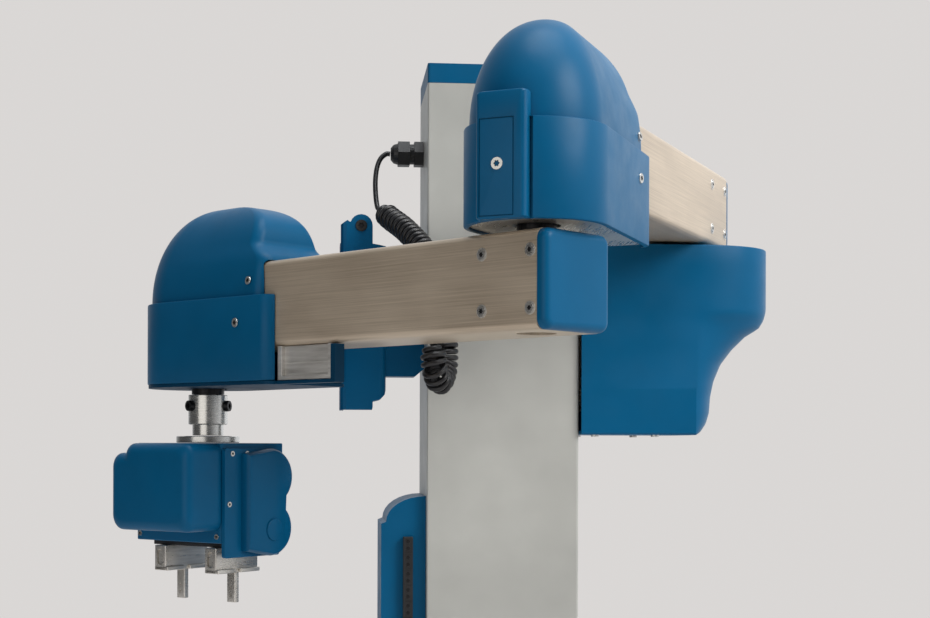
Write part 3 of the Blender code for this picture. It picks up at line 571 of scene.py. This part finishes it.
def add_end_cap(name, place, z, body, thick=0.010, edge=0.0065):
    """A plastic pad over a tube's open tail, with a large soft edge."""
    half = TUBE / 2
    rings = []
    levels = [(0.0, 0.0), (0.0, thick - edge)]
    for i in range(1, 9):
        angle = math.pi / 2.0 * i / 8.0
        levels.append((edge * (1.0 - math.cos(angle)), thick - edge + edge * math.sin(angle)))
    for inset, depth in levels:
        outline = rounded_rectangle(-half + inset, -half + inset, half - inset, half - inset,
                                    max(0.0090 - inset, 0.0015))
        rings.append([(-TUBE_TAIL - GAP - depth, y, z + half + h) for y, h in outline])
    add_piece(name + "_pad", loft(rings), place, body, "blue", [name], sharp=60.0)


def build_saddle():
    """The spacer beside the wrist housing: two end flanges, a foot and a recessed, ribbed web."""
    x0, x1 = FORE_LENGTH - 0.2315, FORE_LENGTH - 0.1570
    low, high = FORE_Z + SKIRT_LOW + GAP, FORE_Z - GAP
    parts = [box((x0 + 0.0040, 0.0292, low + 0.0005), (x1 - 0.0040, 0.0352, high - 0.0005)),
             soft_box((x0, 0.0290, low), (x0 + 0.0046, 0.0390, high), 0.0006, 0.0004),
             soft_box((x1 - 0.0060, 0.0290, low), (x1, 0.0390, high), 0.0006, 0.0004),
             soft_box((x0 + 0.0040, 0.0300, low), (x1 - 0.0050, 0.0390, low + 0.0036), 0.0006, 0.0004),
             soft_box((x0 + 0.0040, 0.0300, low + 0.0150), (x1 - 0.0050, 0.0356, low + 0.0166), 0.0004, 0.0003)]
    add_piece("saddle_spacer", join(*parts), FORE, "forearm", "cast", ["saddle_bracket"])


def build_arms():
    build_saddle()
    add_tube("upper_arm_tube", UPPER, UPPER_LENGTH, UPPER_Z, "upper_arm",
             [(UPPER_LENGTH, 0.0170, -0.005, 0.006)])
    add_tube("forearm_tube", FORE, FORE_LENGTH, FORE_Z, "forearm",
             [(0.0, 0.0166, -0.005, TUBE + 0.005), (FORE_LENGTH, 0.0168, -0.005, 0.006)])
    add_tube_screws("upper_screw", UPPER, UPPER_Z, "upper_arm")
    add_tube_screws("fore_screw", FORE, FORE_Z, "forearm")
    add_end_cap("upper_arm_end_cap", UPPER, UPPER_Z, "upper_arm")
    add_end_cap("forearm_end_cap", FORE, FORE_Z, "forearm")
    for joint, place, length, z, body in (("elbow", UPPER, UPPER_LENGTH, UPPER_Z, "upper_arm"),
                                          ("wrist", FORE, FORE_LENGTH, FORE_Z, "forearm")):
        add_skirt(joint + "_skirt", place, length, z, body)
        add_dome(joint + "_dome", place, length, z, body)
        add_housing_screws(joint + "_screws", place, length, z, body)
    add_duct_cover(UPPER, UPPER_LENGTH, UPPER_Z)


# ---------------------------------------------------------------- carriage

NOSE_X = 0.198
NOSE_POWER = 2.0 / 2.3
BROW_LOW, BROW_RISE = 0.7380, 0.0120
COVER_LOW, COVER_FOOT, COVER_HIGH = 0.6250, 0.6290, 0.820


def nose_reach(z):
    """How far out in X the cover's nose stands at a height."""
    profile = ((0.6245, 0.2030), (0.6266, 0.2080), (0.6290, 0.2118), (0.6366, 0.2185), (0.6480, 0.2225),
               (0.6560, 0.2232), (0.6650, 0.2240), (0.6810, 0.2278), (0.6990, 0.2360), (0.7150, 0.2488),
               (0.7290, 0.2637), (0.7380, 0.2787), (0.7460, 0.2835), (0.7560, 0.2860), (0.8210, 0.2860))
    for (z0, x0), (z1, x1) in zip(profile, profile[1:]):
        if z <= z1:
            return x0 + (x1 - x0) * (z - z0) / (z1 - z0)
    return profile[-1][1]


def cover_ring(z, inset, back, half):
    """Plan at one height; below the brow the flat sides meet the nose in a crease."""
    reach = nose_reach(z) - inset - NOSE_X
    brow = min(1.0, max(0.0, (z - BROW_LOW) / BROW_RISE))
    limit = math.radians(66.0 + 24.0 * brow)
    ring = [(back, -half, z)]
    for i in range(49):
        angle = limit * (i / 24.0 - 1.0)
        front = max(0.0, math.cos(angle) - math.cos(limit)) / (1.0 - math.cos(limit))
        x = NOSE_X + reach * front ** NOSE_POWER
        y = math.copysign(half * abs(math.sin(angle) / math.sin(limit)) ** NOSE_POWER, angle)
        ring.append((x, y, z))
    ring.append((back, half, z))
    return ring


def build_carriage():
    """The hollow cover of the lifting carriage and the screws in its feet."""
    back, half, edge = 0.0795, 0.066, 0.0016
    steps = [COVER_LOW + 0.0010 * i for i in range(4)]
    steps += [COVER_FOOT + (0.7580 - COVER_FOOT) * i / 40.0 for i in range(41)]
    steps += [0.800, COVER_HIGH - edge]
    rings = [cover_ring(z, max(0.0, 0.6266 - z), back, half - max(0.0, 0.6266 - z)) for z in steps]
    for i in range(1, 4):
        angle = math.pi / 2.0 * i / 3.0
        inset = edge * (1.0 - math.cos(angle))
        rings.append(cover_ring(COVER_HIGH - edge + edge * math.sin(angle), inset, back, half - inset))
    levels = [COVER_FOOT] + steps[4:-1] + [0.817]
    inner = [cover_ring(z, 0.0045, back - 0.010, half - 0.003) for z in levels]
    hole = turned([(0.031, 0.800), (0.031, 0.840)], 64, (SHOULDER.x, 0.0))
    add_piece("carriage_shell", loft(rings), WORLD, "carriage", "blue", ["carriage_cover"], sharp=24.0,
              cutters=[loft(inner), hole])
    feet = [screw_head((x, y, COVER_LOW), (0, 0, -1), 0.0042, 0.0020)
            for x in (0.095, 0.157) for y in (-0.056, 0.056)]
    add_piece("carriage_screws", join(*feet), WORLD, "carriage", ["screw", "hole"])


# ---------------------------------------------------------------- tool

def build_spindle():
    """The turned coupling with its two clamp screws, and the flange under it."""
    profile = [(0.0150, 0.6229), (0.0155, 0.6233), (0.0155, 0.6335), (0.0190, 0.6340), (0.0195, 0.6346),
               (0.0195, 0.6630), (0.0190, 0.6636), (0.0168, 0.6636)]
    add_piece("coupling_body", turned(profile, 96), TOOL, "tool", "turned", ["shaft_coupling"])
    flange = [(0.0308, 0.6156), (0.0315, 0.6163), (0.0315, 0.6216), (0.0309, 0.6222), (0.0160, 0.6222)]
    add_piece("flange_disc", turned(flange, 96), TOOL, "tool", "turned", ["tool_flange"])
    for node, angle in (("coupling_screw_front", -100.0), ("coupling_screw_side", 20.0)):
        turn = math.radians(angle)
        out = (math.cos(turn), math.sin(turn), 0.0)
        at = (0.0193 * out[0], 0.0193 * out[1], 0.6525)
        add_piece(node + "_head", screw_head(at, out, 0.0055, 0.0046), TOOL, "tool", ["black_metal", "hole"],
                  [node])


def motor_cover_rings():
    """The motor cover runs out along -Y and is drawn in X and Z, with a soft outer edge."""
    rings = []
    soft = 0.0100
    levels = [(-0.0433, 0.0), (-0.0876 + soft, 0.0)]
    for i in range(1, 9):
        angle = math.pi / 2.0 * i / 8.0
        levels.append((-0.0876 + soft * (1.0 - math.sin(angle)), soft * (1.0 - math.cos(angle))))
    for y, inset in levels:
        outline = []
        for x, z, corner, start in ((0.0635, 0.530, 0.0105, -90.0), (0.0635, 0.6150, 0.0105, 0.0),
                                    (-0.0290, 0.6150, 0.0105, 90.0), (-0.0475, 0.6055, 0.0105, 90.0),
                                    (-0.0475, 0.530, 0.0120, 180.0)):
            right, top = start in (-90.0, 0.0), start in (0.0, 90.0)
            cx = x - inset - corner if right else x + inset + corner
            cz = z - inset - corner if top else z + inset + corner
            for i in range(7):
                angle = math.radians(start + 90.0 * i / 6.0)
                outline.append((cx + corner * math.cos(angle), cz + corner * math.sin(angle)))
        rings.append([(x, y, z) for x, z in outline])
    return rings


def lobe_outline(inset):
    """Two round bulges, one above the other, meeting in a waist on their outer side."""
    points = [(-0.0200 + inset, 0.5100 + inset)]
    for cz, radius, start in ((0.531, 0.027 - inset, -90.0), (0.582, 0.028 - inset, -46.0)):
        for i in range(31):
            angle = math.radians(start + 136.0 * i / 30.0)
            points.append((0.0150 + radius * math.cos(angle), cz + radius * math.sin(angle)))
    points.append((-0.0200 + inset, 0.6050 - inset))
    return points


def build_gripper():
    """The gripper's case, its motor and gear covers, the jaws' rail and the small screws."""
    body = soft_box((-0.0570, -0.0430, 0.5180), (0.0632, 0.0430, 0.6153), 0.0020, 0.0012)
    add_piece("gripper_case", body, TOOL, "tool", "blue", ["gripper_body"])
    add_piece("motor_hood", loft(motor_cover_rings()), TOOL, "tool", "blue", ["gripper_motor_cover"],
              sharp=50.0)
    plate = rounded_rectangle(-0.0430, 0.5040, 0.0330, 0.6100, 0.0030)
    side = loft([[(x, y, z) for y, z in plate] for x in (0.0638, 0.0672, 0.0680)])
    bulge = []
    for inset, x in ((0.0, 0.0660), (0.0, 0.0725), (0.0006, 0.0752), (0.0022, 0.0776), (0.0048, 0.0789)):
        bulge.append([(x, y, z) for y, z in lobe_outline(inset)])
    boss = moved(turned([(0.0112, 0.0), (0.0107, 0.0016), (0.0098, 0.0020)], 48),
                 facing((0.0788, 0.0140, 0.5300), (1, 0, 0)))
    add_piece("gear_hood", join(side, loft(bulge), boss), TOOL, "tool", "blue", ["gripper_gear_cover"],
              sharp=28.0)
    rail = soft_box((-0.0520, -0.0250, 0.5125), (0.0620, 0.0250, 0.5177), 0.0010, 0.0006)
    add_piece("jaw_rail", rail, TOOL, "tool", "black", ["gripper_rail"])
    heads = [screw_head(at, normal, 0.0027, 0.0007) for at, normal in (
        ((0.0680, -0.0330, 0.6050), (1, 0, 0)), ((0.0680, -0.0130, 0.6050), (1, 0, 0)),
        ((0.0680, -0.0370, 0.5560), (1, 0, 0)), ((0.0570, -0.0430, 0.5245), (0, -1, 0)),
        ((-0.0520, -0.0430, 0.5245), (0, -1, 0)))]
    add_piece("gripper_screws", join(*heads), TOOL, "tool", ["screw", "hole"])


def build_jaw(name, x, body):
    """One jaw: a drawn carrier with a C slot at its end, a foot lip, and a flat pin with two holes."""
    z1 = 0.5122
    carrier = soft_box((x - 0.0080, -0.0310, 0.4872), (x + 0.0080, 0.0270, z1), 0.0012, 0.0006)
    slot = loft([[(x + a, y, z) for a, z in rounded_rectangle(-0.0042, 0.4925, 0.0042, 0.5085, 0.0040)]
                 for y in (-0.0400, -0.0285)])
    add_piece(name + "_carrier", carrier, TOOL, body, "bright", [name + "_jaw"], cutters=[slot])
    insert = loft([[(x + a, y, z) for a, z in rounded_rectangle(-0.0030, 0.4940, 0.0030, 0.5070, 0.0029)]
                   for y in (-0.0300, -0.0284)])
    lip = soft_box((x - 0.0080, -0.0310, 0.4870), (x + 0.0110, -0.0080, 0.4912), 0.0010, 0.0008)
    lip_rear = soft_box((x - 0.0080, 0.0000, 0.4870), (x + 0.0110, 0.0270, 0.4912), 0.0010, 0.0008)
    add_piece(name + "_lips", join(insert, lip, lip_rear), TOOL, body, "bright")
    pin = soft_box((x - 0.0055, -0.0030, 0.4570), (x + 0.0055, 0.0030, 0.4869), 0.0008, 0.0005)
    holes = [loft([[(x + a, y, z + b) for a, b in circle(0.0014, 20)] for y in (-0.01, 0.01)])
             for z in (0.4640, 0.4710)]
    add_piece(name + "_bar", pin, TOOL, body, "bright", [name + "_pin"], cutters=holes)


# ---------------------------------------------------------------- column

def build_column():
    """The bracket's screw, the controller's terminal strip and the bolts through the base."""
    add_piece("bracket_screw", screw_head((-0.1432, -0.0220, 0.8400), (0, -1, 0), 0.0060, 0.0012), WORLD,
              "column", ["screw_dark", "hole"])
    strip = soft_box((-0.1010, -0.0580, 0.2600), (-0.0910, -0.0503, 0.5210), 0.0008, 0.0006)
    cutters, rows = [], []
    for i in range(16):
        z = 0.5130 - 0.0163 * i
        for dz in (0.0035, -0.0035):
            rows.append(turned([(0.0022, 0.0), (0.0021, 0.0004), (0.0016, 0.0006)], 16))
            moved(rows[-1], facing((-0.0960, -0.0580, z + dz), (0, -1, 0)))
        cutters.append(box((-0.1020, -0.0600, z - 0.0085), (-0.0900, -0.0572, z - 0.0078)))
    add_piece("terminal_block", strip, WORLD, "column", "black", ["terminal_strip"], cutters=cutters)
    add_piece("terminal_screws", join(*rows), WORLD, "column", "black_metal")
    bolts = []
    for sx in (-1.0, 1.0):
        for sy in (-1.0, 1.0):
            bolts.append(screw_head((sx * 0.175, sy * 0.175, 0.0200), (0, 0, 1), 0.0090, 0.0060))
    add_piece("base_bolts", join(*bolts), WORLD, "column", ["screw", "hole"])


# ---------------------------------------------------------------- cord

WIRE = 0.0053
COIL_TURN = 0.00985
COIL_STEPS = 18
LEAD_ROUTE = ((-0.1125, 0.010, 0.9200), (-0.1165, 0.010, 0.9200), (-0.1225, 0.008, 0.9145),
              (-0.1265, 0.004, 0.9040), (-0.1283, -0.002, 0.8890), (-0.1280, -0.0095, 0.8720),
              (-0.1264, -0.0164, 0.8596), (-0.1237, -0.0217, 0.8564))
COIL_ROUTE = ((-0.1232, -0.0226, 0.8558), (-0.1130, -0.0422, 0.8440), (-0.0980, -0.072, 0.8270),
              (-0.0800, -0.108, 0.7980), (-0.0680, -0.135, 0.7550), (-0.0660, -0.146, 0.7150),
              (-0.0665, -0.150, 0.6880), (-0.0725, -0.166, 0.6735), (-0.0785, -0.182, 0.6840),
              (-0.0800, -0.184, 0.7020), (-0.0782, -0.1828, 0.7120))
TAIL_ROUTE = ((-0.0781, -0.1827, 0.7127), (-0.0758, -0.1818, 0.7240), (-0.0748, -0.1828, 0.7345),
              (-0.0775, -0.1858, 0.7425), (-0.0826, -0.1905, 0.7450))


def smooth_path(points, steps):
    """A Catmull-Rom curve through the points."""
    nodes = [Vector(point) for point in points]
    nodes = [2 * nodes[0] - nodes[1]] + nodes + [2 * nodes[-1] - nodes[-2]]
    path = []
    for a, b, c, d in zip(nodes, nodes[1:], nodes[2:], nodes[3:]):
        for i in range(steps):
            t = i / steps
            path.append(0.5 * (2 * b + (c - a) * t + (2 * a - 5 * b + 4 * c - d) * t ** 2
                               + (3 * b - a - 3 * c + d) * t ** 3))
    path.append(nodes[-2])
    return path


def path_frames(path):
    """A tangent and a steady side direction at each point of a path."""
    frames, side = [], Vector((0.0, 0.0, 1.0))
    for i, point in enumerate(path):
        ahead, behind = path[min(i + 1, len(path) - 1)], path[max(i - 1, 0)]
        tangent = (ahead - behind).normalized()
        side = (side - side.dot(tangent) * tangent).normalized()
        frames.append((tangent, side, tangent.cross(side)))
    return frames


def helix(axis):
    """The wire wound round an axis; its turns open up where the axis bends, so they stay apart."""
    frames = path_frames(axis)
    travelled = [0.0]
    for a, b in zip(axis, axis[1:]):
        travelled.append(travelled[-1] + (b - a).length)
    total = travelled[-1]
    turn = 2.0 * math.pi / COIL_STEPS
    wire, phase, place, k = [], 0.0, 0.0, 0
    while place < total:
        while k < len(axis) - 2 and travelled[k + 1] < place:
            k += 1
        share = (place - travelled[k]) / max(travelled[k + 1] - travelled[k], 1e-9)
        centre = axis[k].lerp(axis[k + 1], share)
        tangent, side, up = frames[k]
        bend = (frames[k + 1][0] - tangent).length / max(travelled[k + 1] - travelled[k], 1e-9)
        grow = min(1.0, place / 0.014, (total - place) / 0.014)
        grow = grow * grow * (3.0 - 2.0 * grow)
        radius = COIL_TURN * max(grow, 0.0)
        wire.append(centre + radius * (math.cos(phase) * side + math.sin(phase) * up))
        loose = max(0.0, 1.0 - place / (0.40 * total))
        pitch = (0.0058 + 0.0030 * loose) / max(0.72, 1.0 - 0.35 * COIL_TURN * bend)
        phase += turn
        place += pitch * turn / (2.0 * math.pi)
    return wire


def tube_mesh(path, radius, sides=10):
    """A round tube along a path."""
    rings = []
    for point, (_, side, up) in zip(path, path_frames(path)):
        ring = []
        for i in range(sides):
            turn = 2.0 * math.pi * i / sides
            ring.append(point + radius * (math.cos(turn) * side + math.sin(turn) * up))
        rings.append(ring)
    return loft(rings)


def add_wire(name, path, replaced, body=None, bodies=None):
    """One length of the cord, riding on a body, or left fixed in place where two bodies are given."""
    bm = tube_mesh(path, WIRE / 2)
    bmesh.ops.recalc_face_normals(bm, faces=bm.faces)
    mesh = bpy.data.meshes.new(name)
    bm.to_mesh(mesh)
    bm.free()
    mesh.shade_smooth()
    mesh.materials.append(MATERIALS["sheath"])
    piece = bpy.data.objects.new(name, mesh)
    bpy.context.scene.collection.objects.link(piece)
    if bodies:
        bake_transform(piece)
    else:
        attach(piece, body)
    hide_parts(replaced)


def build_cord():
    """Lead, coil and tail: one wire in five lengths that meet end to end."""
    lead = smooth_path(LEAD_ROUTE, 4)
    wire = helix(smooth_path(COIL_ROUTE, 12))
    tail = smooth_path(TAIL_ROUTE, 5)
    third = len(wire) // 3
    add_wire("lead_wire", lead + [wire[0]], "cord_lead", body="column")
    add_wire("coil_start", wire[:third + 1], "cord_coil", bodies=("column", "carriage"))
    add_wire("coil_middle", wire[third:2 * third + 1], "cord_coil", bodies=("carriage", "upper_arm"))
    add_wire("coil_end", wire[2 * third:], "cord_coil", bodies=("upper_arm", "forearm"))
    add_wire("tail_wire", [wire[-1]] + tail, "cord_tail", body="forearm")


# ---------------------------------------------------------------- carried-over nodes

NODE_FINISHES = {
    "grey": ("base_plate", "column_profile"),
    "blue_box": ("top_cap", "side_bracket", "controller_box"),
    "blue_dark": ("wrist_plate",),
    "black": ("cable_gland_body", "cable_gland_nut", "forearm_gland_body", "forearm_gland_nut"),
    "black_metal": ("lift_motor", "shoulder_motor", "elbow_motor", "wrist_motor", "gripper_motor",
                    "shoulder_hub", "elbow_shaft", "spindle_shaft"),
    "bright": ("screw_bearing_bottom", "screw_bearing_top", "carriage_slider", "shoulder_bracket",
               "shoulder_clamp", "elbow_gearbox", "wrist_gearbox", "elbow_plate"),
    "turned": ("guide_rail_front", "guide_rail_rear", "guide_block_front", "guide_block_rear", "ball_nut",
               "ball_screw", "shoulder_bearing"),
}


def finish_nodes():
    """Give the CAD nodes that stay visible their materials."""
    for finish, names in NODE_FINISHES.items():
        for name in names:
            mesh = NODES[name].data
            if not mesh.materials:
                mesh.materials.append(None)
            for index in range(len(mesh.materials)):
                mesh.materials[index] = MATERIALS[finish]


MATERIALS = make_materials()
make_camera()
build_cord()
make_world()
make_floor()
make_light("key", (1.9, -1.7, 2.3), (0.0, -0.2, 0.75), 1.6, 62.0, (1.0, 0.985, 0.96))
make_light("top", (0.2, -0.5, 2.9), (0.0, -0.1, 0.7), 1.6, 26.0, (0.96, 0.98, 1.0))
make_light("fill", (-1.5, -2.2, 0.9), (-0.1, -0.2, 0.7), 2.2, 13.0, (1.0, 0.97, 0.93))
build_arms()
build_carriage()
build_spindle()
build_gripper()
build_jaw("finger_left", -0.036, "finger_left")
build_jaw("finger_right", 0.036, "finger_right")
build_column()
finish_nodes()
bpy.context.scene.view_settings.view_transform = "Standard"
